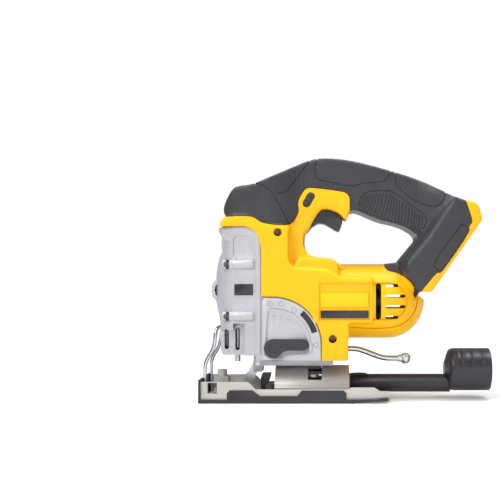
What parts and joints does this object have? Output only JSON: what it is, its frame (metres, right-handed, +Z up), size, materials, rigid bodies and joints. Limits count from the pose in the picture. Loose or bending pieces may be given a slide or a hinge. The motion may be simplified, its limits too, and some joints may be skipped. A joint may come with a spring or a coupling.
{
  "type": "jigsaw power tool",
  "caption": "Cordless D-handle jigsaw with a clamshell body, cast gear case, wire finger guard, bevelling steel shoe and rear dust-extraction spout.",
  "frame": {"origin": "on the sole plane, below the plunger's axis, where the blade's line meets the work", "axes": "+X to the rear of the tool, +Y to the operator's right, +Z up; the clamshell halves meet on y = 0"},
  "size_m": [0.2473, 0.072, 0.2064],
  "materials": {
    "housing_yellow": "satin",
    "grip_rubber": "matte",
    "black_plastic": "satin",
    "badge_black": "satin",
    "cover_black": "satin",
    "insert_plastic": "satin",
    "cast_aluminium": "matte",
    "shoe_steel": "satin",
    "bright_steel": "gloss",
    "machined_steel": "satin",
    "copper": "satin",
    "bronze": "satin",
    "carbon_dark": "matte"
  },
  "bodies": {
    "body": {"housing_left": "housing_yellow", "housing_right": "housing_yellow", "grip_skin_left": "grip_rubber", "grip_skin_right": "grip_rubber", "housing_screws": "machined_steel", "gear_case": "cast_aluminium", "gear_case_front": "cast_aluminium", "gear_case_screws": "machined_steel", "side_badge": "badge_black", "selector_plate": "cast_aluminium", "motor_can": "shoe_steel", "motor_magnets": "carbon_dark", "front_bearing": "machined_steel", "rear_bearing": "machined_steel", "brush_holder": "black_plastic", "carbon_brushes": "carbon_dark", "gear_axle": "machined_steel", "upper_bush": "bronze", "lower_bush": "bronze", "release_lever_pin": "machined_steel", "fork_pin": "machined_steel", "trigger_spring": "machined_steel", "switch_body": "black_plastic", "terminal_block": "black_plastic", "terminal_blades": "copper"},
    "drive": {"drive_gear": "machined_steel", "crank_pin": "machined_steel", "counterweight": "machined_steel"},
    "armature": {"armature_core": "copper", "motor_shaft": "machined_steel", "commutator": "copper", "cooling_fan": "black_plastic", "motor_pinion": "machined_steel"},
    "plunger": {"plunger_rod": "machined_steel", "plunger_yoke": "machined_steel", "blade_clamp": "machined_steel"},
    "blade_release": {"blade_release_lever": "bright_steel"},
    "pendulum": {"pendulum_fork": "machined_steel", "roller_pin": "machined_steel"},
    "roller": {"guide_roller": "machined_steel"},
    "selector": {"selector_lever": "black_plastic", "selector_shaft": "machined_steel"},
    "trigger": {"trigger": "grip_rubber"},
    "lock_off": {"lock_off_button": "black_plastic"},
    "carriage": {"bevel_block": "black_plastic"},
    "shoe": {"shoe_plate": "shoe_steel", "shoe_cover": "cover_black", "splinter_insert": "insert_plastic", "fence_screw": "shoe_steel", "bevel_bracket": "shoe_steel", "wire_guard": "bright_steel", "chip_scoop": "cover_black"},
    "bevel_clamp": {"bevel_screw": "machined_steel", "bevel_nut": "machined_steel", "bevel_lever": "bright_steel", "bevel_ball": "bright_steel"},
    "dust_adaptor": {"dust_duct": "cover_black", "dust_spout": "cover_black"}
  },
  "joints": [
    {"name": "gear_spin", "type": "hinge", "parent": "body", "child": "drive", "pos_m": [0.018, 0, 0.1115], "axis": [1, 0, 0], "continuous": true},
    {"name": "motor_spin", "type": "hinge", "parent": "body", "child": "armature", "pos_m": [0.08, 0, 0.0845], "axis": [1, 0, 0], "continuous": true},
    {"name": "plunger_stroke", "type": "slide", "parent": "body", "child": "plunger", "axis": [0, 0, 1], "range_m": [-0.026, 0]},
    {"name": "release_swing", "type": "hinge", "parent": "body", "child": "blade_release", "pos_m": [-0.0166, 0.012, 0.094], "axis": [0, 0, -1], "range_deg": [0, 50], "stiffness_Nm_per_rad": 0.06, "springref_deg": -17.19},
    {"name": "pendulum_swing", "type": "hinge", "parent": "body", "child": "pendulum", "pos_m": [0.0183, 0, 0.031], "axis": [0, 1, 0], "range_deg": [0, 6], "stiffness_Nm_per_rad": 0.3, "springref_deg": -5.73},
    {"name": "roller_spin", "type": "hinge", "parent": "pendulum", "child": "roller", "pos_m": [0.0107, 0, 0.0188], "axis": [0, 1, 0], "continuous": true},
    {"name": "selector_turn", "type": "hinge", "parent": "body", "child": "selector", "pos_m": [0.0333, -0.03, 0.0454], "axis": [0, -1, 0], "range_deg": [0, 90]},
    {"name": "trigger_press", "type": "slide", "parent": "body", "child": "trigger", "axis": [0, 0, 1], "range_m": [0, 0.005], "stiffness_N_per_m": 600, "springref_m": -0.003, "deforming": ["trigger_spring"]},
    {"name": "lock_off_press", "type": "slide", "parent": "body", "child": "lock_off", "axis": [0, 1, 0], "range_m": [0, 0.004], "stiffness_N_per_m": 500, "springref_m": -0.002},
    {"name": "shoe_shift", "type": "slide", "parent": "body", "child": "carriage", "axis": [-1, 0, 0], "range_m": [0, 0.003]},
    {"name": "shoe_bevel", "type": "hinge", "parent": "carriage", "child": "shoe", "pos_m": [0.065, 0, 0.006], "axis": [1, 0, 0], "range_deg": [-45, 45]},
    {"name": "clamp_turn", "type": "hinge", "parent": "body", "child": "bevel_clamp", "pos_m": [0.066, 0, 0.0432], "axis": [0, 0, -1], "range_deg": [0, 35]},
    {"name": "adaptor_pull", "type": "slide", "parent": "shoe", "child": "dust_adaptor", "axis": [1, 0, 0], "range_m": [0, 0.1]}
  ],
  "couplings": [
    {"joint": "motor_spin", "follows": "gear_spin", "ratio": -5}
  ]
}
